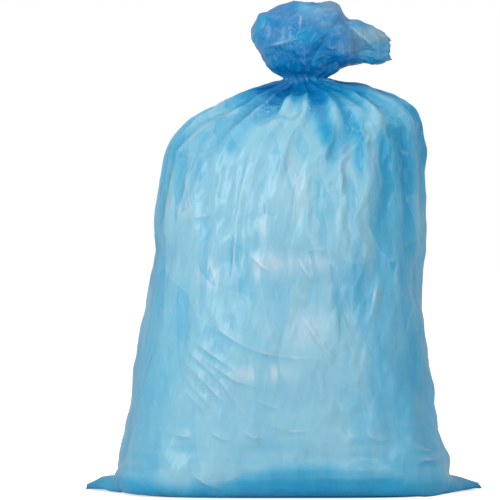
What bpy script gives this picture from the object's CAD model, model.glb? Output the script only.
"""The looks of the filled garbage bag: its wrinkled, translucent blue film, the floor and the light.

The film is one grid of rings, from the edge of the bottom up to the cut mouth. It starts as the plain
form of the CAD bag, with its gathers and bumps. A small film solver then lets the slack on the body
buckle over the contents, and crisp folds and facets are laid on that. Metres, +Z up, -Y is the front.
"""

import math
import random

import bpy
import numpy as np
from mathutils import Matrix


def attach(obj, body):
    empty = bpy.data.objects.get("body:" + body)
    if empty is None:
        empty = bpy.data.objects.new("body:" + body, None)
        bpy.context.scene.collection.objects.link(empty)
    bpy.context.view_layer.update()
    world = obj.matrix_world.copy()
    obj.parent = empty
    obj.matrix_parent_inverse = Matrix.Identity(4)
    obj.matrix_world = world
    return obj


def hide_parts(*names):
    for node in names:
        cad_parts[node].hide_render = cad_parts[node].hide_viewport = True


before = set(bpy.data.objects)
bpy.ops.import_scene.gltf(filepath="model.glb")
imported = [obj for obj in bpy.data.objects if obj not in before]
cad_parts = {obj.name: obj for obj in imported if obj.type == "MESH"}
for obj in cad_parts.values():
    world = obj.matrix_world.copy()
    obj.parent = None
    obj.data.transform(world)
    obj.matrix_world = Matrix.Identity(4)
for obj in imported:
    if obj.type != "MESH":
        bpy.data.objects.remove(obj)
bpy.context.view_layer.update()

# Main sizes, the same as the CAD bag's.
TIE_HEIGHT = 0.639
BODY_WIDTH = 0.512
BODY_DEPTH = 0.390
NECK_CENTRE_X = 0.028
NECK_WIDTH = 0.060
NECK_DEPTH = 0.050
LOOSE_END_HEIGHT = 0.117
LOOSE_END_REACH = 0.134
FILM_GIRTH = 1.40

# Corner ears of the bottom seal, and the seal's groove under the bag.
EAR_REACH = 0.052
EAR_LEVEL = 0.010
EAR_THICKNESS = 0.032
EAR_HALF_WIDTH = 0.080
EAR_ROOT_FROM = 0.25
EAR_ROOT_TO = 0.40
SEAL_LIFT = 0.002

# Fineness of the film: it is settled on three grids, each twice as fine as the last.
COLUMNS = 360
ROWS = 249
LEVELS = (4, 2, 1)
ROUNDS = {4: 260, 2: 220, 1: 140}
BODY_ROW = 1.0
NECK_ROW = 0.55

# Slack of the film: at most this share round the body, growing over this length up to the tie, and
# then the slack up the body and up the loose end.
BODY_SLACK = 0.006
TIE_SLACK = 0.20
LEAST_SLACK = 0.002
SLACK_GROWS = 0.40
UPWARD_SLACK = 0.003
LOOSE_UPWARD_SLACK = 0.02

# How far the film may go in or out from the plain form, and how far along it.
BODY_INWARDS = 0.003
SHOULDER_INWARDS = 0.005
OUTWARDS = 0.003
DRIFT = 0.012
SHOULDER_SINK = 0.003
SAG = 0.00002

# How hard the film resists stretching and squeezing, along its threads and across them, and bending.
THREADS = (0.95, 0.35)
DIAGONALS = (0.35, 0.10)
BENDING = (0.0, 0.05)

# Cut mouth: the film's inside is seen down to the throat. Its sizes are shares of the lip's, and the
# blue gets deeper down to the throat and in the pleats.
MOUTH_ROWS = 8
MOUTH_DEPTH = 0.030
MOUTH_LIP = 0.97
MOUTH_THROAT = 0.25
MOUTH_PLEATS = 0.06
MOUTH_BLUE = 0.25
PLEAT_BLUE = 0.08
MOUTH_VEIL = 0.3
MOUTH_RAGGED = 0.003
RAGGED_POINTS = 41

# Sections of the body, upwards: share of the height of the tie, then how far the film reaches to the
# left and right as shares of the width, and to the front and back as shares of the depth, then how
# square the section is (2 is an ellipse).
BODY_SECTIONS = (
    (0.000, 0.455, 0.460, 0.380, 0.380, 3.8),
    (0.016, 0.510, 0.490, 0.440, 0.436, 3.4),
    (0.063, 0.515, 0.494, 0.472, 0.467, 2.9),
    (0.156, 0.485, 0.464, 0.485, 0.479, 2.6),
    (0.277, 0.465, 0.440, 0.492, 0.487, 2.45),
    (0.419, 0.436, 0.417, 0.500, 0.492, 2.35),
    (0.562, 0.402, 0.410, 0.500, 0.492, 2.25),
    (0.684, 0.394, 0.417, 0.490, 0.485, 2.2),
    (0.796, 0.372, 0.411, 0.467, 0.462, 2.2),
    (0.855, 0.350, 0.414, 0.438, 0.436, 2.15),
    (0.910, 0.285, 0.407, 0.385, 0.385, 2.1),
    (0.942, 0.215, 0.377, 0.326, 0.328, 2.05),
    (0.969, 0.145, 0.313, 0.249, 0.251, 2.0),
    (0.987, 0.086, 0.246, 0.174, 0.177, 2.0),
)

# Sections of the loose end, from the tie to the mouth. Each leans from an outer point, on the long
# way round, to an inner point. A point is given by its shares of the loose end's reach and height.
# The last two numbers are the half depth and the squareness of the section.
LOOSE_SECTIONS = (
    ((-0.40, 0.136), (0.32, 0.060), 0.036, 2.0),
    ((-0.53, 0.360), (0.42, 0.100), 0.048, 2.1),
    ((-0.60, 0.600), (0.50, 0.125), 0.057, 2.1),
    ((-0.52, 0.820), (0.56, 0.140), 0.061, 2.2),
    ((-0.27, 0.970), (0.60, 0.150), 0.062, 2.2),
    ((0.05, 1.000), (0.65, 0.158), 0.059, 2.2),
    ((0.33, 0.995), (0.69, 0.166), 0.051, 2.2),
    ((0.46, 0.870), (0.74, 0.172), 0.042, 2.2),
    ((0.62, 0.800), (0.79, 0.178), 0.045, 2.2),
    ((0.82, 0.695), (0.86, 0.188), 0.041, 2.2),
    ((0.95, 0.590), (0.94, 0.210), 0.035, 2.3),
    ((1.00, 0.530), (1.00, 0.245), 0.031, 2.4),
)

# Folds on the front, as (x, z) in millimetres along each, then how far the fold stands out (a valley
# is negative) and its half width, both in millimetres, and how much deeper the blue is along it.
FRONT_FOLDS = (
    (((-20, 520), (-26, 450), (-30, 400)), 4, 5, 0.0),
    (((-46, 560), (-66, 480), (-74, 420), (-78, 370)), 6, 6, 0.0),
    (((-70, 430), (-76, 385), (-80, 345)), 4, 4, -0.05),
    (((86, 550), (88, 500), (84, 430), (80, 370)), 4, 4, 0.0),
    (((100, 535), (112, 500), (110, 455)), 5, 8, -0.14),
    (((148, 560), (150, 510), (146, 440)), 3, 4, 0.0),
    (((104, 330), (120, 360), (128, 400)), 3, 5, 0.0),
    (((-112, 570), (-150, 500), (-168, 420)), 4, 7, 0.0),
    (((-150, 440), (-120, 446), (-98, 452)), 3, 5, -0.05),
    (((-56, 392), (-34, 372), (-14, 360)), 6, 6, -0.10),
    (((24, 384), (34, 358), (52, 344)), 6, 5, -0.05),
    (((30, 392), (50, 398), (74, 388)), 4, 5, 0.0),
    (((-128, 300), (-92, 268), (-50, 244), (0, 231), (66, 230)), 4, 7, -0.03),
    (((26, 298), (46, 264), (78, 226)), 9, 4, -0.10),
    (((82, 330), (86, 285), (84, 240)), -3, 3, 0.10),
    (((146, 360), (138, 322), (128, 276)), 8, 6, -0.06),
    (((-150, 266), (-118, 240), (-78, 214), (-46, 196)), 4, 3, -0.04),
    (((-152, 246), (-118, 214), (-78, 176)), 4, 3, -0.04),
    (((-122, 228), (-90, 206), (-64, 192), (-30, 184)), 5, 5, -0.06),
    (((-154, 226), (-122, 194), (-88, 160)), 4, 3, 0.0),
    (((-156, 206), (-128, 174), (-100, 146)), 3, 3, -0.04),
    (((-150, 180), (-128, 156), (-112, 140)), 3, 3, 0.0),
    (((-96, 196), (-66, 158), (-54, 136)), 3, 3, 0.0),
    (((-44, 168), (-22, 158), (0, 150)), 3, 5, 0.0),
    (((-112, 118), (-94, 106), (-76, 104)), 4, 4, -0.04),
    (((-62, 120), (-46, 108), (-30, 108)), 3, 4, 0.0),
    (((-168, 112), (-150, 108), (-140, 108)), 3, 4, 0.0),
    (((-138, 50), (-116, 36), (-90, 26)), 4, 4, -0.05),
    (((-30, 132), (14, 116), (50, 120)), 3, 7, 0.0),
    (((120, 116), (140, 104), (160, 100)), 3, 4, 0.0),
    (((196, 92), (214, 82), (232, 84)), 4, 4, 0.0),
    (((200, 62), (216, 70), (236, 66)), 4, 4, 0.0),
    (((206, 330), (196, 296), (188, 262)), 4, 6, 0.0),
    (((176, 380), (168, 350), (172, 320)), 3, 5, 0.0),
)

# The same at the sides, where they show in the outline.
SIDE_FOLDS = (
    (((-225, 380), (-190, 386), (-150, 380)), -6, 16, 0.10),
    (((-225, 424), (-190, 420), (-160, 428)), 3, 14, 0.0),
    (((236, 334), (205, 326), (180, 300)), -3, 12, 0.0),
    (((-250, 130), (-226, 140), (-205, 128)), -3, 8, 0.0),
)

# The same for the loose end: here the film is folded in big creases.
LOOSE_FOLDS = (
    (((40, 643), (26, 664), (17, 679), (3, 685)), -5, 7, 0.50),
    (((50, 643), (42, 664), (53, 679), (71, 710), (88, 727)), -5, 6, 0.45),
    (((-26, 690), (4, 697), (36, 706)), 4, 6, -0.36),
    (((-23, 735), (-20, 710), (-29, 692)), -4, 6, 0.25),
    (((-50, 728), (-48, 698), (-32, 674)), 2, 11, -0.35),
    (((14, 747), (28, 740), (25, 710)), 3, 6, 0.0),
    (((42, 743), (60, 747), (80, 743)), 3, 9, -0.45),
    (((96, 742), (80, 724), (66, 706)), -4, 5, 0.35),
    (((101, 723), (122, 704), (140, 692)), 4, 6, -0.25),
    (((107, 680), (132, 677), (157, 672)), -3, 5, 0.15),
    (((122, 721), (146, 712), (158, 704)), 2, 5, -0.15),
    (((70, 701), (74, 682), (88, 695)), 3, 5, -0.10),
)

# Where the gathered layers show as deep streaks below the tie, and their pale gaps, in the same form.
NECK_STREAKS = (
    (((34, 642), (-2, 627), (-28, 606), (-48, 574)), -2, 9, 0.40),
    (((44, 640), (61, 612), (65, 585), (68, 550), (72, 510)), -1, 9, 0.80),
    (((30, 640), (-40, 616), (-78, 580), (-100, 520)), -2, 8, 0.30),
    (((44, 640), (90, 612), (118, 575), (128, 520)), -2, 8, 0.25),
)

# The smooth pale panel in front of the gathers: x, z, half width and half height in millimetres, how
# much of the blue it takes away, and how soft its edge is.
PANEL = (18, 545, 29, 66)
PANEL_PALER = 0.30
PANEL_EDGE = 0.35

# Upper edge of the deep blue where the film is doubled along the floor: x, z in millimetres.
FLOOR_BAND = (
    (-310, 44), (-268, 40), (-208, 33), (-147, 27), (-87, 36), (-57, 50),
    (3, 64), (64, 60), (154, 46), (214, 36), (262, 30), (310, 36),
)
FLOOR_BAND_BLUE = 0.40
FLOOR_BAND_EDGE = 26.0
FLOOR_STREAKS = 0.07

# How deep the blue is: where the film is gathered, above the tie and below it, and more at the sides,
# in valleys of this depth and in fine gathers, less at the mouth; then in the ears and underneath.
GATHERED_BLUE = 1.08
GATHERED_BLUE_BELOW = 0.67
SIDE_BLUE = 0.16
VALLEY_BLUE = 0.10
VALLEY_DEPTH = 0.003
FINE_GATHER_BLUE = 0.30
MOUTH_PALER = 0.50
EAR_BLUE = 0.72
UNDER_BLUE = 0.62

# Overlapping layers of film, which show as patches with straight edges: distances between the edges,
# and how much deeper the blue is in each. On the body they are drawn out upwards, are fully there
# above one height, and keep the least share of their strength below another.
BODY_OVERLAPS = (0.190, 0.140, 0.100, 0.075, 0.055, 0.040)
BODY_OVERLAP_BLUE = 0.13
OVERLAP_UPRIGHT = 0.50
OVERLAP_HEIGHTS = (0.12, 0.42)
OVERLAP_LEAST = 0.30
LOOSE_OVERLAPS = (0.080, 0.060, 0.045, 0.034)
LOOSE_OVERLAP_BLUE = 0.26
OVERLAP_EDGE = 0.0015

# How patchy the grey veil of the loose end is: the mean, and the change from layer to layer.
VEIL_MEAN = 0.75
VEIL_CHANGE = 0.5

# Broad places where the blue is deeper or paler: x, z, half width, half height in millimetres, amount.
BLUE_PATCHES = (
    (20, 0, 195, 40, 0.25),
    (14, 732, 32, 18, 0.26),
    (30, 676, 46, 26, 0.34),
    (195, 330, 75, 330, 0.26),
    (-215, 300, 50, 260, 0.12),
    (95, 330, 40, 60, 0.14),
    (70, 470, 22, 120, 0.14),
    (165, 560, 80, 70, 0.25),
    (-115, 562, 95, 58, 0.14),
    (-77, 415, 14, 60, 0.13),
    (-33, 508, 12, 52, 0.13),
    (73, 460, 14, 60, 0.09),
    (-66, 296, 62, 56, 0.12),
    (-10, 480, 38, 150, -0.12),
    (-20, 260, 90, 90, -0.06),
)

# Where the film lies on something pale and shows it, in the same form.
PALE_PATCHES = (
    (-28, 372, 38, 20, 0.85),
    (8, 488, 30, 48, 0.30),
    (99, 529, 13, 30, 0.45),
    (-116, 358, 18, 20, 0.60),
    (52, 380, 20, 15, 0.35),
    (-31, 207, 48, 14, 0.50),
    (15, 275, 56, 34, 0.22),
    (-155, 457, 22, 14, 0.25),
    (141, 529, 7, 22, 0.40),
    (-31, 428, 9, 20, 0.45),
    (-136, 62, 26, 18, 0.12),
)

# Where the film looks greyer, in the same form.
VEILS = (
    (138, 690, 42, 45, 0.75),
    (75, 738, 36, 22, 0.60),
    (20, 735, 30, 20, 0.10),
    (-22, 700, 26, 26, 0.20),
    (20, 360, 110, 60, 0.18),
    (10, 190, 130, 40, 0.12),
)

# A crease is steeper on its lower side: the two widths as shares of its half width.
STEEP_SIDE = 0.7
GENTLE_SIDE = 1.8

# Fine crumpling: a seed, the distances between parallel creases, and how steep the facets lie. The
# creases bend by a share of their distance, and fade out, over so many distances.
BODY_FACETS = (26, (0.070, 0.055, 0.043, 0.034, 0.026, 0.020, 0.015), 0.12)
LOOSE_FACETS = (40, (0.050, 0.038, 0.030, 0.024, 0.018, 0.013, 0.010, 0.0075), 0.16)
FACET_UPRIGHT = 0.55
CREASE_BEND = 0.30
BEND_CELLS = 3.0
FADE_CELLS = 2.2

# Bumps where the contents press on the film: a seed, the waves round and up, and the height. Then
# creased ones on the body and on the loose end: a seed, the size of a cell, and the height.
BUMPS = (21, (10, 7), 0.0016)
DENTS = (25, 0.050, 0.0030)
DENTS_UPRIGHT = 0.45
CRUMPLE = (23, 0.040, 0.008)
CRUMPLE_SINK = 0.002
MOUTH_CRUMPLE = 0.45

# The folds laid by chance on the back, and the crease lines for the material: the mesh holds this
# share of a fold's height, and the material the rest, drawn from each point's distance to the fold in
# millimetres. A group holds folds that lie well apart.
BACK_FOLDS = 30
BACK_FOLD_X = (-180, 180)
BACK_FOLD_Z = (60, 560)
BACK_FOLD_LEAN = (-60, 60)
BACK_FOLD_DROP = (40, 110)
BACK_FOLD_HEIGHTS = (3, 5)
BACK_FOLD_WIDTHS = (4, 7)
MESH_SHARE = 0.55
CREASE_GROUPS = 4
CREASE_REACH = 14.0
FAR_FROM_CREASE = (1000.0, 0.0, 1.0)

# Main gathers, the same as the CAD bag's.
GATHER_COUNT = 20
GATHER_DEPTH = 0.0140
GATHER_SPACE_SHARE = 0.36
GATHER_SINK = 0.50
GATHER_SPREAD = 0.28
GATHER_WIDTHS = (0.75, 1.25)
GATHER_DOWN = (0.16, 0.46)
GATHER_UP = (0.03, 0.06)
GATHER_STRENGTHS = (0.55, 1.0)
GATHER_DRIFT = 0.35

# Fine gathers between them, which get this share wider as they run down.
FINE_GATHERS = 46
FINE_SPREAD = 0.4
FINE_WIDTHS = (0.7, 1.5)
FINE_REACHES = (0.05, 0.08, 0.12, 0.20)
FINE_REACH_SHARES = (0.8, 1.3)
FINE_UP = (0.015, 0.035)
FINE_STRENGTHS = (0.5, 1.0)
FINE_DRIFT = 0.05
FINE_WIDER = 0.8
FINE_WIDENS = 0.3
FINE_SPACE_SHARE = 0.30
FINE_MOST = 0.004

# Upright streaks of doubled layers: a seed, the waves round and up, and how much deeper the blue is.
# Low on the body they keep the least share of it.
WIDE_STREAKS = (31, (36, 6), 0.09)
NARROW_STREAKS = (32, (90, 9), 0.065)
STREAKS_LEAST = 0.25

# The streaks below the tie fade from this share of their length on.
NECK_STREAK_FADES = 0.45

# Light: the world's as it lights the bag and as the camera sees it, and the floor's own glow.
WORLD_LIGHT = 0.61
WORLD_SEEN = 1.0
FLOOR_GLOW = 0.66

# Other seeds of what is left to chance.
FOLD_SEED = 5
FINE_GATHER_SEED = 6
RAGGED_SEED = 8
GATHER_SEED = 11
OVERLAP_SEED = 52
VEIL_SEED = 53
FLOOR_SEED = 54
WAVE_SEED = 61
LAYER_SEED = 62

# Colours of the film, from one layer to many, of its grey veil, and of its creases.
FILM_COLOURS = (
    (0.00, (0.300, 0.620, 0.750, 1)),
    (0.25, (0.138, 0.510, 0.725, 1)),
    (0.50, (0.038, 0.405, 0.650, 1)),
    (0.75, (0.004, 0.320, 0.600, 1)),
    (1.00, (0.001, 0.245, 0.565, 1)),
)
VEIL_COLOUR = (0.21, 0.41, 0.55, 1)
WHITE_COLOUR = (0.72, 0.85, 0.92, 1)
MOST_WHITE = 0.8

# Gloss of the film, with a thin clear coat, and the share of light that comes through it.
FILM_GLOSS = {"Roughness": 0.34, "IOR": 1.4, "Coat Weight": 0.27, "Coat Roughness": 0.16, "Coat IOR": 1.5}
LIGHT_THROUGH = 0.30

# Finest creases in the material. A pair such as WAVE_PRESENT turns noise into places: its gain and
# its offset. The bends are given by the noise's scale and detail, and their size.
CREASE_WAVES = (0.046, 0.034, 0.025, 0.018, 0.012, 0.0085)
CREASE_WAVE_SLOPE = 0.09
WAVE_BENDS = (0.4, 0.0, 3.0)
WAVE_FADES = 0.6
WAVE_PRESENT = (5.0, -2.0)

# Thin pale lines on the crests of these: how pale on the body and on the loose end, and their width.
CREST_WHITE = 0.08
CREST_LOOSE_WHITE = 0.13
CREST_WIDTH = 0.0008
CREST_PRESENT = (9.0, -5.2)

# Layers that overlap, in the same form.
LAYER_BENDS = (0.5, 3.0, 4.0)
LAYER_FADES = 0.8
LAYER_SHIFT = (3.0, 5.0, 7.0)
LAYER_PRESENT = (5.0, -2.2)
LAYER_PALER = 0.8

# Thin lines, upright on the upper body and in any direction on the loose end: the scale of their
# noise, their width in it, how pale and blue they are, and where the upright ones start and are full.
STREAK_SCALE = 62.0
STREAK_UPRIGHT = 0.10
STREAK_HEIGHTS = (0.22, 0.42)
STREAKS_BELOW_TIE = 0.03
SQUIGGLE_SCALE = 85.0
STREAK_WIDTH = 0.022
STREAK_BLUE_BESIDE = 1.6
STREAK_WHITE = 0.29
STREAK_BLUE = 0.20
STREAK_FADES = 0.42
STREAK_PRESENT = (7.0, -3.6)

# The laid creases in the material: share of the fold's height, then the deeper blue below each crest
# and the paler blue on it, for each millimetre of height, with places and widths in millimetres.
CREASE_SHARE = 0.45
CREASE_SHADE = 0.012
CREASE_SHADE_AT = 3.0
CREASE_SHADE_WIDTH = 2.2
CREASE_STEP = 0.020
CREASE_STEP_WIDTH = 9.0
CREASE_WHITE = 0.120
CREASE_WHITE_WIDTH = 1.8
CREASE_BREAKS = 26.0
BREAKS_PRESENT = (5.0, -2.2)
BROKEN_LEAST = 0.5


def smooth_step(x):
    """0 below 0, 1 above 1, and a smooth rise between."""
    x = np.clip(x, 0.0, 1.0)
    return x * x * (3.0 - 2.0 * x)


def signed_power(x, power):
    return np.sign(x) * np.abs(x) ** power


def form_rows():
    """Every section as (left x, left z, right x, right z, front, back, squareness)."""
    rows = []
    for share, left, right, front, back, square in BODY_SECTIONS:
        height = share * TIE_HEIGHT
        sides = (-left * BODY_WIDTH, height, right * BODY_WIDTH, height)
        rows.append((*sides, front * BODY_DEPTH, back * BODY_DEPTH, square))
    half_width = NECK_WIDTH / 2
    neck = (NECK_CENTRE_X - half_width, TIE_HEIGHT, NECK_CENTRE_X + half_width, TIE_HEIGHT)
    rows.append((*neck, NECK_DEPTH / 2, NECK_DEPTH / 2, 2.0))
    for (outer_x, outer_z), (inner_x, inner_z), half_depth, square in LOOSE_SECTIONS:
        outer = (NECK_CENTRE_X + outer_x * LOOSE_END_REACH, TIE_HEIGHT + outer_z * LOOSE_END_HEIGHT)
        inner = (NECK_CENTRE_X + inner_x * LOOSE_END_REACH, TIE_HEIGHT + inner_z * LOOSE_END_HEIGHT)
        rows.append((*outer, *inner, half_depth, half_depth, square))
    return np.array(rows)


def smooth_through(rows, steps=24):
    """A centripetal Catmull-Rom curve through the rows, as many closely spaced rows."""
    ends = np.vstack([2 * rows[0] - rows[1], rows, 2 * rows[-1] - rows[-2]])
    curve = []
    for i in range(1, len(ends) - 2):
        p0, p1, p2, p3 = ends[i - 1 : i + 3]
        gaps = [np.linalg.norm((b - a)[:6]) ** 0.5 for a, b in ((p0, p1), (p1, p2), (p2, p3))]
        tangent_1 = (p1 - p0) / gaps[0] - (p2 - p0) / (gaps[0] + gaps[1]) + (p2 - p1) / gaps[1]
        tangent_2 = (p2 - p1) / gaps[1] - (p3 - p1) / (gaps[1] + gaps[2]) + (p3 - p2) / gaps[2]
        for step in range(steps):
            t = step / steps
            curve.append(
                (2 * t**3 - 3 * t**2 + 1) * p1
                + (t**3 - 2 * t**2 + t) * tangent_1 * gaps[1]
                + (3 * t**2 - 2 * t**3) * p2
                + (t**3 - t**2) * tangent_2 * gaps[1]
            )
    curve.append(rows[-1])
    return np.array(curve)


def spaced_rows(dense):
    """Picks the rings from the dense curve: closer together at the tie and in the loose end."""
    steps = np.linalg.norm(np.diff(dense[:, :6], axis=0), axis=1)
    width = np.hypot(dense[1:, 2] - dense[1:, 0], dense[1:, 3] - dense[1:, 1])
    openness = smooth_step((width - NECK_WIDTH) / (0.36 - NECK_WIDTH))
    wanted = NECK_ROW + (BODY_ROW - NECK_ROW) * openness
    position = np.concatenate([[0.0], np.cumsum(steps / wanted)])
    targets = np.linspace(0.0, position[-1], ROWS)
    return np.stack([np.interp(targets, position, column) for column in dense.T], axis=1)


def plain_rings(rows):
    """The plain form as an array of rings by columns by xyz, the columns evenly spaced round a ring.

    Column 0 is the right side fold, then come the back, the left side fold and the front.
    """
    angles = np.linspace(0.0, 2 * math.pi, 1441)
    rings = []
    for left_x, left_z, right_x, right_z, front, back, square in rows:
        across = signed_power(np.cos(angles), 2 / square)
        deep = signed_power(np.sin(angles), 2 / square)
        x = (left_x + right_x) / 2 + (right_x - left_x) / 2 * across
        y = np.where(deep > 0, back, front) * deep
        z = (left_z + right_z) / 2 + (right_z - left_z) / 2 * across
        ring = np.stack([x, y, z], axis=1)
        run = np.concatenate([[0.0], np.cumsum(np.linalg.norm(np.diff(ring, axis=0), axis=1))])
        halfway = run[720]
        half = COLUMNS // 2
        back_run = np.linspace(0.0, halfway, half, endpoint=False)
        front_run = np.linspace(halfway, run[-1], half, endpoint=False)
        places = np.concatenate([back_run, front_run])
        rings.append(np.stack([np.interp(places, run, ring[:, k]) for k in range(3)], axis=1))
    return np.array(rings)


def with_ears(points):
    """Draws the corners of the bottom seal out to the sides."""
    heights = points[:, :, 2]
    above = np.clip((heights - EAR_LEVEL) / (EAR_THICKNESS - EAR_LEVEL), 0.0, 1.0)
    below = np.clip((EAR_LEVEL - heights) / EAR_LEVEL, 0.0, 1.0)
    lens = (1.0 - above) ** 1.3 * (1.0 - below**2)
    point = np.clip(1.0 - np.abs(points[:, :, 1]) / EAR_HALF_WIDTH, 0.0, 1.0) ** 1.2
    across = np.abs(points[:, :, 0]) / BODY_WIDTH
    at_side = smooth_step((across - EAR_ROOT_FROM) / (EAR_ROOT_TO - EAR_ROOT_FROM))
    points = points.copy()
    points[:, :, 0] += np.sign(points[:, :, 0]) * at_side * EAR_REACH * lens * point
    return points


def outward_normals(points):
    around = np.roll(points, -1, axis=1) - np.roll(points, 1, axis=1)
    along = np.gradient(points, axis=0)
    normals = np.cross(around, along)
    return normals / np.maximum(np.linalg.norm(normals, axis=2, keepdims=True), 1e-9)


def run_from_tie(points):
    """How far each ring lies from the tie, along the film: negative on the body."""
    steps = np.linalg.norm(np.diff(points, axis=0), axis=2).mean(axis=1)
    run = np.concatenate([[0.0], np.cumsum(steps)])
    tie = int(np.argmin(np.abs(points[:, :, 2].mean(axis=1) - TIE_HEIGHT)))
    return run - run[tie], tie


def girths(points):
    return np.linalg.norm(np.roll(points, -1, axis=1) - points, axis=2).sum(axis=1)


def line_distance(points_2d, line):
    """Signed distance of each point from a smooth line through the given ones, and the share along it."""
    line = np.array(line, dtype=float)
    count = len(line)
    fine = np.linspace(0, count - 1, 8 * (count - 1) + 1)
    knots = np.arange(count)
    smooth = np.stack([np.interp(fine, knots, line[:, k]) for k in range(2)], axis=1)
    for _ in range(6):
        smooth[1:-1] = (smooth[:-2] + 2 * smooth[1:-1] + smooth[2:]) / 4
    nearest = np.full(points_2d.shape[:-1], 1e9)
    share = np.zeros(points_2d.shape[:-1])
    for i, (a, b) in enumerate(zip(smooth, smooth[1:])):
        along = b - a
        t = np.clip(((points_2d - a) @ along) / max(along @ along, 1e-12), 0.0, 1.0)
        apart = points_2d - a - t[..., None] * along
        gap = np.linalg.norm(apart, axis=-1)
        side = np.where(along[0] * apart[..., 1] - along[1] * apart[..., 0] > 0, 1.0, -1.0)
        closer = gap < np.abs(nearest)
        nearest = np.where(closer, gap * side, nearest)
        share = np.where(closer, (i + t) / (len(smooth) - 1), share)
    return nearest, share


def front_view(points):
    """The points as (x, z), in millimetres, as they are seen from the front."""
    return points[:, :, [0, 2]] * 1000.0


def facing(normals, side, start=0.05):
    """1 where the film faces the front (side -1) or the back (side 1), falling past the edge."""
    return smooth_step((side * normals[:, :, 1] + start) / 0.3)


def laid_folds(points, normals):
    """Relief, deeper blue and crease lines of the laid folds: the back's lie by chance."""
    chance = random.Random(FOLD_SEED)
    flat = front_view(points)
    front = facing(normals, -1)
    back = facing(normals, 1)
    relief = np.zeros(points.shape[:2])
    blue = np.zeros(points.shape[:2])
    everywhere = np.ones(points.shape[:2])
    lines = [np.full((*points.shape[:2], 3), FAR_FROM_CREASE) for _ in range(CREASE_GROUPS)]
    taken = [np.zeros(points.shape[:2], dtype=bool) for _ in range(CREASE_GROUPS)]
    folds = [(*fold, front) for fold in FRONT_FOLDS + LOOSE_FOLDS]
    folds += [(*fold, everywhere) for fold in SIDE_FOLDS]
    for _ in range(BACK_FOLDS):
        x = chance.uniform(*BACK_FOLD_X)
        z = chance.uniform(*BACK_FOLD_Z)
        lean = chance.uniform(*BACK_FOLD_LEAN)
        drop = chance.uniform(*BACK_FOLD_DROP)
        line = ((x, z), (x + lean * 0.6, z - drop * 0.4), (x + lean, z - drop))
        height = chance.uniform(*BACK_FOLD_HEIGHTS)
        width = chance.uniform(*BACK_FOLD_WIDTHS)
        folds.append((line, height, width, 0.0, back))
    for line, height, width, deeper, side in folds:
        gap, share = line_distance(flat, line)
        taper = np.clip(np.minimum(share, 1 - share) * 3, 0.0, 1.0)
        steep = np.where(gap > 0, GENTLE_SIDE, STEEP_SIDE)
        near = np.exp(-((np.abs(gap) / (steep * width)) ** 1.5)) * side * taper
        relief += MESH_SHARE * height / 1000.0 * near
        blue += deeper * np.exp(-((gap / (1.3 * width)) ** 2)) * side * taper
        if side is everywhere:
            continue
        close = (np.abs(gap) < 2 * CREASE_REACH) & (side > 0.01)
        free = [k for k in range(CREASE_GROUPS) if not (taken[k] & close).any()]
        group = free[0] if free else CREASE_GROUPS - 1
        taken[group] |= close
        nearer = close & (np.abs(gap) < np.abs(lines[group][:, :, 0]))
        fade = 1.0 - smooth_step((np.abs(gap) - 0.5 * CREASE_REACH) / (0.5 * CREASE_REACH))
        crease = [gap, height * fade * side * taper, np.full(gap.shape, float(width))]
        lines[group][nearer] = np.stack(crease, axis=2)[nearer]
    return relief, blue, lines


def neck_streaks(points, normals):
    """Relief and deeper blue of the streaks below the tie, on the front."""
    flat = front_view(points)
    front = facing(normals, -1, 0.25)
    relief = np.zeros(points.shape[:2])
    blue = np.zeros(points.shape[:2])
    for line, height, width, deeper in NECK_STREAKS:
        gap, share = line_distance(flat, line)
        fade = 1.0 - smooth_step((share - NECK_STREAK_FADES) / (1 - NECK_STREAK_FADES))
        near = np.exp(-((gap / (width * (1 + share))) ** 2)) * front * fade
        relief += height / 1000.0 * near
        blue += deeper * near
    return relief, blue


def main_gathers(points, run):
    """Relief of the ridges that fan out from the tie, as on the CAD bag."""
    chance = random.Random(GATHER_SEED)
    x = points[:, :, 0] - points[:, :, 0].mean(axis=1, keepdims=True)
    half_width = np.ptp(points[:, :, 0], axis=1)[:, None] / 2
    half_depth = np.ptp(points[:, :, 1], axis=1)[:, None] / 2
    angles = np.arctan2(points[:, :, 1] / half_depth, x / half_width)
    run = run[:, None]
    room = GATHER_SPACE_SHARE * girths(points)[:, None] / GATHER_COUNT
    height = np.zeros(points.shape[:2])
    for i in range(GATHER_COUNT):
        centre = (i + chance.uniform(-GATHER_SPREAD, GATHER_SPREAD)) * 2 * math.pi / GATHER_COUNT
        half_width = chance.uniform(*GATHER_WIDTHS) * math.pi / GATHER_COUNT
        down = chance.uniform(*GATHER_DOWN)
        up = chance.uniform(*GATHER_UP)
        strength = chance.uniform(*GATHER_STRENGTHS)
        drift = chance.uniform(-GATHER_DRIFT, GATHER_DRIFT)
        centre_there = centre + drift * np.clip(-run, 0.0, down)
        apart = (angles - centre_there + math.pi) % (2 * math.pi) - math.pi
        ridge = 0.5 + 0.5 * np.cos(math.pi * np.clip(apart / half_width, -1.0, 1.0))
        reach = np.where(run < 0, down, up)
        fade = 1.0 - smooth_step(np.abs(run) / reach)
        height += strength * ridge**1.4 * fade
    sunk = height - GATHER_SINK * height.max(axis=1, keepdims=True)
    return sunk * np.minimum(GATHER_DEPTH, room)


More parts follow.
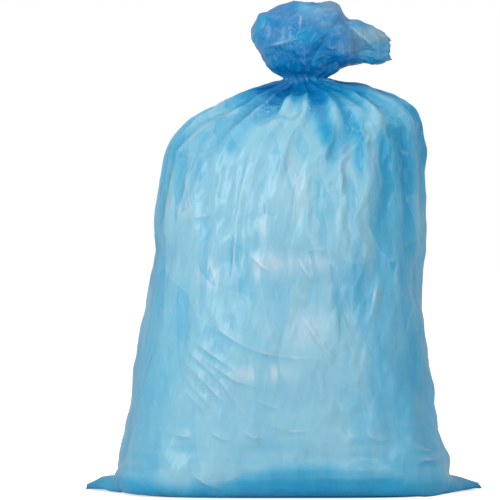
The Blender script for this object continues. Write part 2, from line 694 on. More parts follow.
def fine_gathers(points, run):
    """Relief and deeper blue of the fine gathers between the main ones, close to the tie."""
    chance = random.Random(FINE_GATHER_SEED)
    rows, columns = points.shape[:2]
    turn = np.arange(columns)[None, :] / columns
    down = -run[:, None]
    room = girths(points)[:, None] / FINE_GATHERS
    relief = np.zeros((rows, columns))
    blue = np.zeros((rows, columns))
    for i in range(FINE_GATHERS):
        centre = (i + chance.uniform(-FINE_SPREAD, FINE_SPREAD)) / FINE_GATHERS
        half_width = chance.uniform(*FINE_WIDTHS) / FINE_GATHERS
        reach_down = chance.choice(FINE_REACHES) * chance.uniform(*FINE_REACH_SHARES)
        reach_up = chance.uniform(*FINE_UP)
        strength = chance.uniform(*FINE_STRENGTHS)
        drift = chance.uniform(-FINE_DRIFT, FINE_DRIFT)
        widen = 1.0 + FINE_WIDER * np.clip(down / FINE_WIDENS, 0.0, 1.0)
        there = centre + drift * np.clip(down, 0.0, FINE_WIDENS) / FINE_WIDENS
        apart = np.abs((turn - there + 0.5) % 1.0 - 0.5)
        ridge = np.clip(1.0 - apart / (half_width * widen), 0.0, 1.0) ** 1.2
        reach = np.where(down > 0, reach_down, reach_up)
        fade = 1.0 - smooth_step(np.abs(down) / reach)
        relief += strength * ridge * fade * np.minimum(FINE_SPACE_SHARE * room * widen, FINE_MOST)
        valley = np.clip(1.0 - np.abs(apart - half_width) / (0.6 * half_width), 0.0, 1.0)
        blue += 0.5 * strength * valley * fade
    return relief, blue


def soft_noise(shape, seed, waves, amount):
    """Smooth seeded bumps that join up round the ring: waves is the number of them round and up."""
    chance = np.random.default_rng(seed)
    columns, rows = waves
    grid = chance.standard_normal((rows + 3, columns))
    up = np.linspace(0, rows + 1.999, shape[0])
    around = np.arange(shape[1]) * columns / shape[1]
    i = up.astype(int)
    j = around.astype(int)
    s = smooth_step(up - i)[:, None]
    t = smooth_step(around - j)[None, :]
    i_next = np.minimum(i + 1, rows + 2)
    j_next = (j + 1) % columns
    low = grid[np.ix_(i, j)] * (1 - t) + grid[np.ix_(i, j_next)] * t
    high = grid[np.ix_(i_next, j)] * (1 - t) + grid[np.ix_(i_next, j_next)] * t
    return amount * (low * (1 - s) + high * s)


def space_noise(points, seed, cell):
    """Smooth seeded noise in space: cell is the distance between its knots."""
    chance = np.random.default_rng(seed)
    grid = chance.standard_normal((24, 24, 24))
    place = points / cell + 12.0
    cells = np.floor(place).astype(int)
    share = smooth_step(place - cells)
    total = np.zeros(points.shape[:2])
    for dx in (0, 1):
        for dy in (0, 1):
            for dz in (0, 1):
                corner = (cells + (dx, dy, dz)) % 24
                weight = np.ones(points.shape[:2])
                for k, d in enumerate((dx, dy, dz)):
                    weight = weight * (share[:, :, k] if d else 1.0 - share[:, :, k])
                total += weight * grid[corner[:, :, 0], corner[:, :, 1], corner[:, :, 2]]
    return total


def creased_noise(points, seed, cell, amount):
    """Bumps with sharp creases between them, as slack film has."""
    return amount * (0.5 - np.abs(space_noise(points, seed, cell)))


def chance_direction(chance):
    direction = chance.standard_normal(3)
    return direction / np.linalg.norm(direction)


def chance_waves(points, seed, lengths):
    """For each length: a wave from 0 to 1 in a chance direction, and where it is present."""
    chance = np.random.default_rng(seed)
    for length in lengths:
        direction = chance_direction(chance)
        bend_seed, fade_seed = chance.integers(1000, size=2)
        bend = CREASE_BEND * space_noise(points, bend_seed, BEND_CELLS * length)
        wave = (points @ direction / length + chance.uniform() + bend) % 1.0
        present = smooth_step(0.5 + space_noise(points, fade_seed, FADE_CELLS * length))
        yield length, wave, present


def crumpled(points, seed, lengths, slope):
    """Flat facets between nearly straight creases that fade out."""
    total = np.zeros(points.shape[:2])
    for length, wave, present in chance_waves(points, seed, lengths):
        total += length * present * (np.abs(wave - 0.5) - 0.25)
    return slope * total


def overlaps(points, seed, deeper):
    """Deeper blue where layers overlap: patches between straight edges that fade out along them."""
    total = np.zeros(points.shape[:2])
    for length, wave, present in chance_waves(points, seed, LOOSE_OVERLAPS):
        edge = OVERLAP_EDGE / length
        inside = smooth_step((wave - 0.5) / edge) * (1.0 - smooth_step((wave - 1.0 + edge) / edge))
        total += deeper * present * (inside - 0.5)
    return total


class Links:
    """Pairs of neighbouring points of the film, in groups where no point is in two pairs."""

    def __init__(self, base, around, upwards):
        """The last two are the slack round the bag and up it, at each point."""
        self.groups = []
        every = slice(None)
        for start in (0, 1):
            one = (every, slice(start, -1, 2))
            other = (every, slice(start + 1, None, 2))
            self.add(base, one, other, THREADS, around)
        self.add(base, (every, slice(-1, None)), (every, slice(0, 1)), THREADS, around)
        for start in (0, 1):
            one = (slice(start, -1, 2), every)
            other = (slice(start + 1, None, 2), every)
            self.add(base, one, other, THREADS, upwards)
        diagonal = (around + upwards) / 2
        for start in (0, 1):
            lower = slice(start, -1, 2)
            upper = slice(start + 1, None, 2)
            self.add(base, (lower, slice(0, -1)), (upper, slice(1, None)), DIAGONALS, diagonal)
            self.add(base, (upper, slice(0, -1)), (lower, slice(1, None)), DIAGONALS, diagonal)
        for start in (0, 1, 2, 3):
            one = slice(start, -2, 4)
            other = slice(start + 2, None, 4)
            self.add(base, (every, one), (every, other), BENDING, around)
            self.add(base, (one, every), (other, every), BENDING, upwards)

    def add(self, base, one, other, resists, slack):
        a = base[one]
        b = base[other]
        count_rows = min(a.shape[0], b.shape[0])
        count_columns = min(a.shape[1], b.shape[1])
        a = a[:count_rows, :count_columns]
        b = b[:count_rows, :count_columns]
        factor = slack[one][:count_rows, :count_columns]
        length = np.linalg.norm(b - a, axis=2) * factor
        self.groups.append((one, other, (count_rows, count_columns), length, resists))

    def pull(self, points, ease):
        """Moves every pair towards its length. The film resists stretching far more than squeezing."""
        for one, other, (rows, columns), length, (stretch, squeeze) in self.groups:
            a = points[one][:rows, :columns]
            b = points[other][:rows, :columns]
            apart = b - a
            now = np.sqrt(np.einsum("ijk,ijk->ij", apart, apart)) + 1e-9
            error = now - length
            share = np.where(error > 0, stretch, squeeze) * error / now * (0.5 * ease)
            move = apart * share[:, :, None]
            a += move
            b -= move


def settle(points, base, normals, low, high, held, slack_around, slack_up, rounds, sag):
    """Lets the film buckle between the contents below it and the limit above it."""
    links = Links(base, slack_around, slack_up)
    middle = (low + high) / 2
    rest = base + normals * middle[:, :, None]
    for k in range(rounds):
        ease = 1.0 if k < rounds * 0.8 else 0.6
        points[:, :, 2] -= sag
        links.pull(points, ease)
        offset = points - base
        out = np.einsum("ijk,ijk->ij", offset, normals)
        along = offset - out[:, :, None] * normals
        drift = np.linalg.norm(along, axis=2)
        along *= np.minimum(1.0, DRIFT / np.maximum(drift, 1e-9))[:, :, None]
        out = np.clip(out, low, high)
        points = base + along + out[:, :, None] * normals
        points = points * (1 - held) + rest * held
        points[:, :, 2] = np.maximum(points[:, :, 2], 0.0)
    return points


def refine(coarse, shape):
    """The same field on a finer grid."""
    rows, columns = shape
    up = np.linspace(0, coarse.shape[0] - 1, rows)
    around = np.arange(columns) * coarse.shape[1] / columns
    i = np.minimum(up.astype(int), coarse.shape[0] - 2)
    j = around.astype(int)
    s = (up - i)[:, None]
    t = (around - j)[None, :]
    if coarse.ndim == 3:
        s = s[:, :, None]
        t = t[:, :, None]
    j_next = (j + 1) % coarse.shape[1]
    low = coarse[i][:, j] * (1 - t) + coarse[i][:, j_next] * t
    high = coarse[i + 1][:, j] * (1 - t) + coarse[i + 1][:, j_next] * t
    return low * (1 - s) + high * s


def near_shoulder(run):
    """1 on the shoulders, and 0 at the tie, above it and on the lower body."""
    return smooth_step(-run / 0.05) * (1.0 - smooth_step((-run - 0.15) / 0.15))


def film_surface():
    """The settled film, its tones at each point, and its crease lines."""
    base = with_ears(plain_rings(spaced_rows(smooth_through(form_rows()))))
    base[:, :, 0] -= (base[:, :, 0].min() + base[:, :, 0].max()) / 2
    normals = outward_normals(base)
    run, tie = run_from_tie(base)
    rows_run = run[:, None]
    body = smooth_step((-rows_run - 0.02) / 0.20)
    loose = smooth_step(rows_run / 0.03)
    laid, laid_blue, lines = laid_folds(base, normals)
    streaks, streak_blue = neck_streaks(base, normals)
    fine, gather_blue = fine_gathers(base, run)
    bumps = soft_noise(base.shape[:2], *BUMPS)
    bumps = bumps + creased_noise(base * (1.0, 1.0, DENTS_UPRIGHT), *DENTS)
    facets = crumpled(base * (1.0, 1.0, FACET_UPRIGHT), *BODY_FACETS)
    loose_facets = crumpled(base, *LOOSE_FACETS)
    crumple = creased_noise(base, *CRUMPLE) - CRUMPLE_SINK
    calm_mouth = MOUTH_CRUMPLE + (1 - MOUTH_CRUMPLE) * smooth_step((rows_run[-1] - rows_run) / 0.05)
    crumple = crumple * smooth_step((rows_run - 0.010) / 0.035) * calm_mouth
    calm_floor = smooth_step(base[:, :, 2] / 0.04)
    relief = (streaks + bumps) * calm_floor * (1 - loose) + main_gathers(base, run) + fine + crumple
    inwards = BODY_INWARDS * body + SHOULDER_INWARDS * (1 - body)
    inwards = inwards * (1 - loose) * calm_floor
    near_tie = smooth_step(np.abs(rows_run) / 0.04)
    inwards = inwards * near_tie
    low = relief - inwards
    high = relief + OUTWARDS * calm_floor * near_tie * (1 - loose)
    held = np.zeros(base.shape[:2])
    held[0] = 1.0
    held[tie - 1 :] = 1.0
    gather_ratio = FILM_GIRTH / girths(base)
    near = np.clip(1.0 + run / SLACK_GROWS, 0.0, 1.0)
    near[run > 0] = 0.0
    most = BODY_SLACK + (TIE_SLACK - BODY_SLACK) * near**2
    slack = np.minimum(gather_ratio - 1.0, most)
    everywhere = np.ones(base.shape[:2])
    slack_around = 1.0 + np.maximum(slack, LEAST_SLACK)[:, None] * everywhere
    slack_up = 1.0 + (UPWARD_SLACK * (1 - loose) + LOOSE_UPWARD_SLACK * loose) * everywhere
    offset = None
    for step in LEVELS:
        shape = ((ROWS - 1) // step + 1, COLUMNS // step)
        pick = (slice(None, None, step), slice(None, None, step))
        level_base = base[pick]
        level_normals = normals[pick]
        if offset is None:
            offset = level_normals * relief[pick][:, :, None]
        else:
            offset = refine(offset, shape)
        level_held = held[pick].copy()
        if step > 1:
            level_held[np.argmin(np.abs(run[::step]))] = 1.0
        points = settle(
            level_base + offset,
            level_base,
            level_normals,
            low[pick],
            high[pick],
            level_held[:, :, None],
            slack_around[pick],
            slack_up[pick],
            ROUNDS[step],
            SAG * step,
        )
        offset = points - level_base
    crisp = laid + facets * (1 - loose) + loose_facets * loose
    crisp = crisp - SHOULDER_SINK * near_shoulder(rows_run)
    points = points + outward_normals(points) * (crisp * calm_floor)[:, :, None]
    points[:, :, 2] = np.maximum(points[:, :, 2], 0.0)
    relief_now = np.einsum("ijk,ijk->ij", offset, normals)
    laid_blue = laid_blue + streak_blue
    tones = film_tones(base, normals, gather_ratio, run, laid_blue, gather_blue, relief_now)
    return points, tones, lines


def layer_streaks(base, run):
    """Soft upright streaks where folded layers of film overlap, in the upper half of the body."""
    upper = smooth_step((run + 0.45) / 0.25)[:, None]
    wide = soft_noise(base.shape[:2], *WIDE_STREAKS)
    narrow = soft_noise(base.shape[:2], *NARROW_STREAKS)
    return (wide + narrow) * (STREAKS_LEAST + (1 - STREAKS_LEAST) * upper)


def soft_patches(base, patches):
    """The sum of soft round patches at each point, as they are seen from the front."""
    flat = front_view(base)
    total = np.zeros(base.shape[:2])
    for x, z, half_width, half_height, amount in patches:
        apart = (((flat - (x, z)) / (half_width, half_height)) ** 2).sum(axis=2)
        total += amount * np.exp(-(apart**1.5))
    return total


def film_tones(base, normals, gather_ratio, run, laid_blue, gather_blue, relief):
    """How deep the blue is, how grey the film looks, and how much of something pale it shows.

    Layers of film add up where it is gathered, in its valleys, along the floor and in the ears.
    """
    gathered = smooth_step((np.log(gather_ratio)[:, None] - 0.25) / 1.1)
    around_mean = relief
    for shift in (2, 4, 6):
        left = np.roll(around_mean, shift, axis=1)
        right = np.roll(around_mean, -shift, axis=1)
        around_mean = (left + right + around_mean) / 3
    valley = np.clip((around_mean - relief) / VALLEY_DEPTH, -1.0, 1.0)
    across = base[:, :, 0]
    heights = base[:, :, 2]
    sides = smooth_step((np.abs(across) / (BODY_WIDTH / 2) - 0.45) / 0.6)
    on_body = run[:, None] < 0
    blue = (
        np.where(on_body, GATHERED_BLUE_BELOW, GATHERED_BLUE) * gathered
        + SIDE_BLUE * sides * on_body
        + VALLEY_BLUE * valley
        + laid_blue
        + FINE_GATHER_BLUE * gather_blue * (0.2 + gathered)
        + layer_streaks(base, run) * on_body
        + soft_patches(base, BLUE_PATCHES)
    )
    in_front = facing(normals, -1)
    panel_x, panel_z, half_width, half_height = PANEL
    apart = np.hypot((across * 1000.0 - panel_x) / half_width, (heights * 1000.0 - panel_z) / half_height)
    on_panel = smooth_step((1.0 - apart) / PANEL_EDGE) * in_front
    blue = blue * (1.0 - PANEL_PALER * on_panel)
    blue += overlaps(base, OVERLAP_SEED, LOOSE_OVERLAP_BLUE) * (1 - on_body)
    band_x, band_z = np.array(FLOOR_BAND).T
    band_top = np.interp(across * 1000.0, band_x, band_z)
    in_band = smooth_step((band_top - heights * 1000.0) / FLOOR_BAND_EDGE + 0.5)
    blue += FLOOR_BAND_BLUE * in_band * on_body
    near_floor = 1.0 - smooth_step((heights - 0.05) / 0.12)
    streaks = space_noise(base * (0.2, 0.2, 2.2), FLOOR_SEED, 0.020)
    blue += FLOOR_STREAKS * streaks * near_floor * on_body
    ears = smooth_step((np.abs(across) - BODY_WIDTH / 2 - 0.004) / 0.02) * on_body
    blue = np.maximum(blue, EAR_BLUE * ears)
    mouth = smooth_step((across - 0.095) / 0.04) * (1 - on_body)
    blue = blue * (1 - MOUTH_PALER * mouth)
    patchy = VEIL_MEAN + overlaps(base, VEIL_SEED, VEIL_CHANGE)
    veil = soft_patches(base, VEILS) * np.where(on_body, 1.0, np.clip(patchy, 0.0, 1.5))
    pale = soft_patches(base, PALE_PATCHES) * in_front
    return np.clip(blue, 0.0, 1.0), np.clip(veil, 0.0, 1.0), pale


def close_under(verts, faces, floor_ring):
    """Closes the bottom with panels that run in from the edge to the seal along the middle."""
    half = COLUMNS // 2
    steps = 5
    last = list(range(COLUMNS))
    for k in range(1, steps + 1):
        share = k / steps
        now = [0] * COLUMNS
        for j in range(COLUMNS):
            other = (COLUMNS - j) % COLUMNS
            if k == steps and j > half:
                now[j] = now[other]
                continue
            x = floor_ring[j][0]
            y = floor_ring[j][1] * (1 - share)
            if k == steps:
                y = 0.0
            near_side = min(1.0, abs(floor_ring[j][1]) / 0.03)
            z = SEAL_LIFT * share**4 * near_side
            now[j] = len(verts)
            verts.append((x, y, z))
        for j in range(COLUMNS):
            n = (j + 1) % COLUMNS
            face = list(dict.fromkeys((last[n], last[j], now[j], now[n])))
            if len(face) > 2:
                faces.append(face)
        last = now


def mouth_inside(points, blue):
    """Rings of the film's inside, from the ragged lip back to the gathered throat."""
    lip = points[-1]
    middle = lip.mean(axis=0)
    back = points[-8].mean(axis=0) - middle
    inwards = back / np.linalg.norm(back)
    turn = np.arange(COLUMNS) * 2 * math.pi / COLUMNS
    pleats = np.sin(turn * 11 + 1.2 * np.sin(turn * 2)) + 0.6 * np.sin(turn * 17 + 1.0)
    rings = []
    blues = []
    for k in range(1, MOUTH_ROWS + 1):
        share = k / MOUTH_ROWS
        size = MOUTH_LIP - (MOUTH_LIP - MOUTH_THROAT) * share**1.4 + MOUTH_PLEATS * share * pleats
        rings.append(middle + (lip - middle) * size[:, None] + inwards * MOUTH_DEPTH * share)
        deeper = MOUTH_BLUE * share - PLEAT_BLUE * share * pleats
        blues.append(np.clip(blue[-1] + deeper, 0.0, 1.0))
    return rings, blues


def add_attribute(mesh, name, values, rest):
    """Stores a number or a vector for each point, and the same rest for the points after those."""
    every = np.full((len(mesh.vertices), *np.shape(rest)), rest, dtype=float)
    every[: len(values)] = values
    kind, part = ("FLOAT_VECTOR", "vector") if np.ndim(rest) else ("FLOAT", "value")
    layer = mesh.attributes.new(name, kind, "POINT")
    layer.data.foreach_set(part, every.ravel())


def bag_film():
    points, (blue, veil, pale), lines = film_surface()
    chance = np.random.default_rng(RAGGED_SEED)
    knots = np.linspace(0, COLUMNS, RAGGED_POINTS)
    ragged = np.interp(np.arange(COLUMNS), knots, chance.uniform(-1, 1, RAGGED_POINTS))
    for k, share in ((-1, 1.0), (-2, 0.66), (-3, 0.33)):
        points[k, :, 0] += MOUTH_RAGGED * ragged * share
    inside, inside_blue = mouth_inside(points, blue)
    rings = list(points) + inside
    verts = [tuple(point) for ring in rings for point in ring]
    faces = []
    for i in range(len(rings) - 1):
        for j in range(COLUMNS):
            n = (j + 1) % COLUMNS
            a = i * COLUMNS
            b = a + COLUMNS
            faces.append((a + j, a + n, b + n, b + j))
    last = (len(rings) - 1) * COLUMNS
    faces.append([last + j for j in range(COLUMNS)])
    close_under(verts, faces, points[0])
    mesh = bpy.data.meshes.new("bag_film")
    mesh.from_pydata(verts, [], faces)
    mesh.validate()
    add_attribute(mesh, "deep_blue", np.ravel(list(blue) + inside_blue), UNDER_BLUE)
    add_attribute(mesh, "grey_veil", np.append(veil, np.full(len(inside) * COLUMNS, MOUTH_VEIL)), 0.0)
    add_attribute(mesh, "pale", pale.ravel(), 0.0)
    for k, line_group in enumerate(lines):
        add_attribute(mesh, f"crease_{k}", line_group.reshape(-1, 3), FAR_FROM_CREASE)
    mesh.shade_smooth()
    film = bpy.data.objects.new("bag_film", mesh)
    bpy.context.scene.collection.objects.link(film)
    return film


class Nodes:
    """Short ways to add nodes to a material. A value is a number or another node's output."""

    def __init__(self, tree):
        self.tree = tree

    def maths(self, operation, *values):
        node = self.tree.nodes.new("ShaderNodeMath")
        node.operation = operation
        for socket, value in zip(node.inputs, values):
            if isinstance(value, (int, float)):
                socket.default_value = value
            else:
                self.tree.links.new(value, socket)
        return node.outputs["Value"]

    def times(self, a, b):
        return self.maths("MULTIPLY", a, b)

    def times_plus(self, a, b, c):
        return self.maths("MULTIPLY_ADD", a, b, c)

    def clamped(self, value, most=1.0):
        return self.maths("MINIMUM", self.maths("MAXIMUM", value, 0.0), most)

    def places(self, value, present):
        """1 in some places and 0 in others, from a noise: present is the gain and the offset."""
        return self.clamped(self.times_plus(value, *present))

    def rise(self, value, start, full):
        """0 below the start, and 1 from full on."""
        climb = 1.0 / (full - start)
        return self.places(value, (climb, -start * climb))

    def bell(self, distance, width):
        """1 at no distance, and a smooth fall over the width."""
        share = self.maths("DIVIDE", distance, width)
        return self.maths("EXPONENT", self.times(self.times(share, share), -1.0))

    def noise(self, place, scale, detail=0.0):
        node = self.tree.nodes.new("ShaderNodeTexNoise")
        node.inputs["Scale"].default_value = scale
        node.inputs["Detail"].default_value = detail
        self.tree.links.new(place, node.inputs["Vector"])
        return node.outputs["Fac"]

    def moved(self, place, shift=(0.0, 0.0, 0.0), upright=1.0):
        """The place, moved by the shift, with its height taken as this share."""
        node = self.tree.nodes.new("ShaderNodeVectorMath")
        node.operation = "MULTIPLY_ADD"
        node.inputs[1].default_value = (1.0, 1.0, upright)
        node.inputs[2].default_value = shift
        self.tree.links.new(place, node.inputs[0])
        return node.outputs["Vector"]

    def along(self, place, direction):
        node = self.tree.nodes.new("ShaderNodeVectorMath")
        node.operation = "DOT_PRODUCT"
        node.inputs[1].default_value = direction
        self.tree.links.new(place, node.inputs[0])
        return node.outputs["Value"]

    def parts(self, vector):
        node = self.tree.nodes.new("ShaderNodeSeparateXYZ")
        self.tree.links.new(vector, node.inputs["Vector"])
        return node.outputs

    def attribute(self, name, output="Fac"):
        node = self.tree.nodes.new("ShaderNodeAttribute")
        node.attribute_name = name
        return node.outputs[output]

    def mixed(self, share, one, other):
        """One colour with a share of another, which is a constant."""
        node = self.tree.nodes.new("ShaderNodeMixRGB")
        node.inputs["Color2"].default_value = other
        self.tree.links.new(share, node.inputs["Fac"])
        self.tree.links.new(one, node.inputs["Color1"])
        return node.outputs["Color"]


def straight_wave(nodes, place, chance, length, bends):
    """A wave from 0 to 0.5 in a chance direction, with the place and the shift for its other noises."""
    direction = chance_direction(chance)
    shift = tuple(chance.uniform(0.0, 10.0, 3))
    elsewhere = nodes.moved(place, shift)
    scale, detail, size = bends
    bend = nodes.times(nodes.noise(elsewhere, scale / length, detail), size * CREASE_BEND)
    wave = nodes.maths("ADD", nodes.along(place, direction / length), bend)
    return nodes.maths("PINGPONG", wave, 0.5), elsewhere, shift


def crumple_waves(nodes, place):
    """Height of the finest facets between straight creases, and the lines on their crests."""
    chance = np.random.default_rng(WAVE_SEED)
    height = 0.0
    lines = 0.0
    for length in CREASE_WAVES:
        wave, elsewhere, shift = straight_wave(nodes, place, chance, length, WAVE_BENDS)
        there = nodes.noise(nodes.moved(elsewhere, shift), WAVE_FADES / length)
        facet = nodes.times(wave, nodes.places(there, WAVE_PRESENT))
        height = nodes.times_plus(facet, length * CREASE_WAVE_SLOPE, height)
        from_crest = nodes.times(nodes.maths("SUBTRACT", wave, 0.5), length / CREST_WIDTH)
        rare = nodes.places(there, CREST_PRESENT)
        lines = nodes.times_plus(nodes.maths("EXPONENT", from_crest), rare, lines)
    return height, lines


def overlap_layers(nodes, place):
    """How many layers overlap, less the mean: patches with straight, wavering edges."""
    chance = np.random.default_rng(LAYER_SEED)
    total = 0.0
    for length in BODY_OVERLAPS:
        wave, elsewhere, _ = straight_wave(nodes, place, chance, length, LAYER_BENDS)
        doubled = nodes.maths("SUBTRACT", nodes.maths("GREATER_THAN", wave, 0.25), 0.5)
        there = nodes.noise(nodes.moved(elsewhere, LAYER_SHIFT), LAYER_FADES / length)
        total = nodes.times_plus(doubled, nodes.places(there, LAYER_PRESENT), total)
    return total


def thin_lines(nodes, place, upright, scale, where):
    """Thin lines of chance where a noise is even: pale ones, and blue ones beside them."""
    wave = nodes.noise(nodes.moved(place, upright=upright), scale, 1.0)
    there = nodes.places(nodes.noise(place, STREAK_FADES * scale, 1.0), STREAK_PRESENT)
    there = nodes.times(there, where)
    on_line = []
    for middle in (0.5, 0.5 + STREAK_BLUE_BESIDE * STREAK_WIDTH):
        apart = nodes.maths("ABSOLUTE", nodes.maths("SUBTRACT", wave, middle))
        near = nodes.places(apart, (-1.0 / STREAK_WIDTH, 1.0))
        on_line.append(nodes.times(near, there))
    return on_line


def crease_lines(nodes, place):
    """Height of the laid creases in metres, how much deeper the blue is below them, and their white."""
    height = 0.0
    blue = 0.0
    white = 0.0
    breaks = nodes.places(nodes.noise(place, CREASE_BREAKS, 1.0), BREAKS_PRESENT)
    whole = nodes.times_plus(breaks, 1.0 - BROKEN_LEAST, BROKEN_LEAST)
    for k in range(CREASE_GROUPS):
        gap, strength, width = nodes.parts(nodes.attribute(f"crease_{k}", "Vector"))
        strength = nodes.times(strength, whole)
        distance = nodes.maths("ABSOLUTE", gap)
        above = nodes.maths("GREATER_THAN", gap, 0.0)
        steep = nodes.times_plus(above, GENTLE_SIDE - STEEP_SIDE, STEEP_SIDE)
        apart = nodes.maths("DIVIDE", distance, nodes.times(width, steep))
        crest = nodes.maths("EXPONENT", nodes.times(apart, -1.0))
        height = nodes.times_plus(nodes.times(strength, crest), CREASE_SHARE / 1000.0, height)
        shade = nodes.bell(nodes.maths("ADD", gap, CREASE_SHADE_AT), CREASE_SHADE_WIDTH)
        blue = nodes.times_plus(nodes.times(shade, strength), CREASE_SHADE, blue)
        near = nodes.bell(gap, CREASE_WHITE_WIDTH)
        white = nodes.times_plus(nodes.times(near, strength), CREASE_WHITE, white)
        fall = nodes.maths("EXPONENT", nodes.maths("DIVIDE", distance, -CREASE_STEP_WIDTH))
        step = nodes.times(fall, nodes.maths("SIGN", gap))
        blue = nodes.times_plus(nodes.times(step, strength), -CREASE_STEP, blue)
    return height, blue, nodes.times(white, whole)


def film_look(nodes, place):
    """How deep the blue is, how white the creases are, and how high they stand."""
    heights = nodes.parts(place)["Z"]
    on_loose = nodes.maths("GREATER_THAN", heights, TIE_HEIGHT)
    below_tie = nodes.maths("LESS_THAN", heights, TIE_HEIGHT - STREAKS_BELOW_TIE)
    upper_body = nodes.times(nodes.rise(heights, *STREAK_HEIGHTS), below_tie)
    fine, crests = crumple_waves(nodes, nodes.moved(place, upright=FACET_UPRIGHT))
    streaks = thin_lines(nodes, place, STREAK_UPRIGHT, STREAK_SCALE, upper_body)
    squiggles = thin_lines(nodes, place, 1.0, SQUIGGLE_SCALE, on_loose)
    pale_lines, blue_lines = [nodes.maths("ADD", a, b) for a, b in zip(streaks, squiggles)]
    laid, deeper, white = crease_lines(nodes, place)
    doubled = overlap_layers(nodes, nodes.moved(place, upright=OVERLAP_UPRIGHT))
    upper = nodes.rise(heights, *OVERLAP_HEIGHTS)
    share = nodes.times_plus(upper, 1.0 - OVERLAP_LEAST, OVERLAP_LEAST)
    blue = nodes.maths("ADD", nodes.attribute("deep_blue"), deeper)
    blue = nodes.times_plus(nodes.times(doubled, share), BODY_OVERLAP_BLUE, blue)
    blue = nodes.times_plus(blue_lines, STREAK_BLUE, blue)
    single = nodes.maths("MAXIMUM", nodes.times_plus(doubled, -LAYER_PALER, LAYER_PALER), 0.0)
    white = nodes.times_plus(nodes.attribute("pale"), single, white)
    white = nodes.times_plus(pale_lines, STREAK_WHITE, white)
    crest_white = nodes.times_plus(on_loose, CREST_LOOSE_WHITE - CREST_WHITE, CREST_WHITE)
    white = nodes.times_plus(crests, nodes.times(crest_white, share), white)
    return blue, nodes.clamped(white, MOST_WHITE), nodes.maths("ADD", fine, laid)


def film_material():
    """Thin glossy polyethylene: its blue deepens with the layers, and it lets some light through."""
    material = bpy.data.materials.new("blue_film")
    material.use_nodes = True
    tree = material.node_tree
    tree.nodes.clear()
    output = tree.nodes.new("ShaderNodeOutputMaterial")
    surface = tree.nodes.new("ShaderNodeBsdfPrincipled")
    through = tree.nodes.new("ShaderNodeBsdfTranslucent")
    mix = tree.nodes.new("ShaderNodeMixShader")
    ramp = tree.nodes.new("ShaderNodeValToRGB")
    bump = tree.nodes.new("ShaderNodeBump")
    place = tree.nodes.new("ShaderNodeTexCoord").outputs["Object"]
    stops = ramp.color_ramp.elements
    stops[0].position, stops[0].color = FILM_COLOURS[0]
    stops[1].position, stops[1].color = FILM_COLOURS[-1]
    for position, colour in FILM_COLOURS[1:-1]:
        stops.new(position).color = colour
    bump.inputs["Strength"].default_value = 1.0
    bump.inputs["Distance"].default_value = 1.0
    for name, value in FILM_GLOSS.items():
        surface.inputs[name].default_value = value
    mix.inputs["Fac"].default_value = LIGHT_THROUGH
    nodes = Nodes(tree)
    blue, white, height = film_look(nodes, place)
    tree.links.new(blue, ramp.inputs["Fac"])
    tinted = nodes.mixed(nodes.attribute("grey_veil"), ramp.outputs["Color"], VEIL_COLOUR)
    creased = nodes.mixed(white, tinted, WHITE_COLOUR)
    tree.links.new(creased, surface.inputs["Base Color"])
    tree.links.new(tinted, through.inputs["Color"])
    tree.links.new(height, bump.inputs["Height"])
    tree.links.new(bump.outputs["Normal"], surface.inputs["Normal"])
    tree.links.new(surface.outputs["BSDF"], mix.inputs[1])
    tree.links.new(through.outputs["BSDF"], mix.inputs[2])
    tree.links.new(mix.outputs["Shader"], output.inputs["Surface"])
    return material


def floor():
    mesh = bpy.data.meshes.new("floor")
    size = 6.0
    corners = [(-size, -size, 0), (size, -size, 0), (size, size, 0), (-size, size, 0)]
    mesh.from_pydata(corners, [], [(0, 1, 2, 3)])
    thing = bpy.data.objects.new("floor", mesh)
    white = bpy.data.materials.new("floor_white")
    white.use_nodes = True
    tree = white.node_tree
    surface = tree.nodes["Principled BSDF"]
    surface.inputs["Base Color"].default_value = (0.80, 0.80, 0.80, 1)
    surface.inputs["Roughness"].default_value = 0.9
    surface.inputs["Emission Color"].default_value = (1, 1, 1, 1)
    seen = tree.nodes.new("ShaderNodeLightPath")
    glow = Nodes(tree).times(seen.outputs["Is Camera Ray"], FLOOR_GLOW)
    tree.links.new(glow, surface.inputs["Emission Strength"])
    mesh.materials.append(white)
    bpy.context.scene.collection.objects.link(thing)


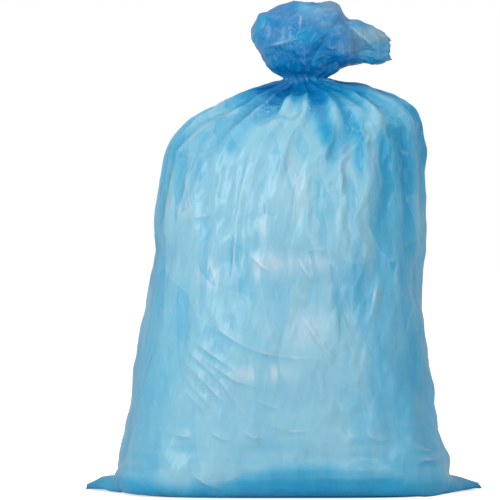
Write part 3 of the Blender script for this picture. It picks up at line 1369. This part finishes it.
def area_light(name, place, target, size, power):
    data = bpy.data.lights.new(name, "AREA")
    data.shape = "RECTANGLE"
    data.size, data.size_y = size
    data.energy = power
    light = bpy.data.objects.new(name, data)
    light.location = place
    direction = np.array(target) - np.array(place)
    heading = math.atan2(direction[1], direction[0])
    pitch = math.atan2(direction[2], math.hypot(direction[0], direction[1]))
    light.rotation_euler = (math.pi / 2 + pitch, 0.0, heading - math.pi / 2)
    bpy.context.scene.collection.objects.link(light)


def studio():
    world = bpy.data.worlds.new("studio")
    bpy.context.scene.world = world
    world.use_nodes = True
    tree = world.node_tree
    background = tree.nodes["Background"]
    background.inputs["Color"].default_value = (1, 1, 1, 1)
    background.inputs["Strength"].default_value = WORLD_LIGHT
    sky = tree.nodes.new("ShaderNodeBackground")
    sky.inputs["Color"].default_value = (1, 1, 1, 1)
    sky.inputs["Strength"].default_value = WORLD_SEEN
    ray = tree.nodes.new("ShaderNodeLightPath")
    mix = tree.nodes.new("ShaderNodeMixShader")
    tree.links.new(ray.outputs["Is Camera Ray"], mix.inputs["Fac"])
    tree.links.new(background.outputs["Background"], mix.inputs[1])
    tree.links.new(sky.outputs["Background"], mix.inputs[2])
    tree.links.new(mix.outputs["Shader"], tree.nodes["World Output"].inputs["Surface"])
    area_light("key", (-1.7, -2.2, 1.5), (0, 0, 0.35), (1.1, 1.9), 44)
    area_light("top", (0.1, 0.0, 2.6), (0, 0, 0.3), (2.2, 2.2), 18)
    area_light("strip", (1.5, -2.4, 1.0), (0, 0, 0.4), (0.35, 1.6), 12)
    bpy.context.scene.view_settings.view_transform = "Standard"


def camera():
    data = bpy.data.cameras.new("camera")
    distance = 12.0
    elevation = math.radians(3)
    target = (-0.051, 0.0, 0.373)
    shown = 0.775
    data.sensor_width = 36.0
    data.lens = 36.0 * distance / shown
    thing = bpy.data.objects.new("camera", data)
    thing.location = (
        target[0],
        target[1] - distance * math.cos(elevation),
        target[2] + distance * math.sin(elevation),
    )
    thing.rotation_euler = (math.pi / 2 - elevation, 0.0, 0.0)
    bpy.context.scene.collection.objects.link(thing)
    bpy.context.scene.camera = thing


film = bag_film()
film.data.materials.append(film_material())
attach(film, "root")
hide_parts("garbage_bag")
floor()
studio()
camera()
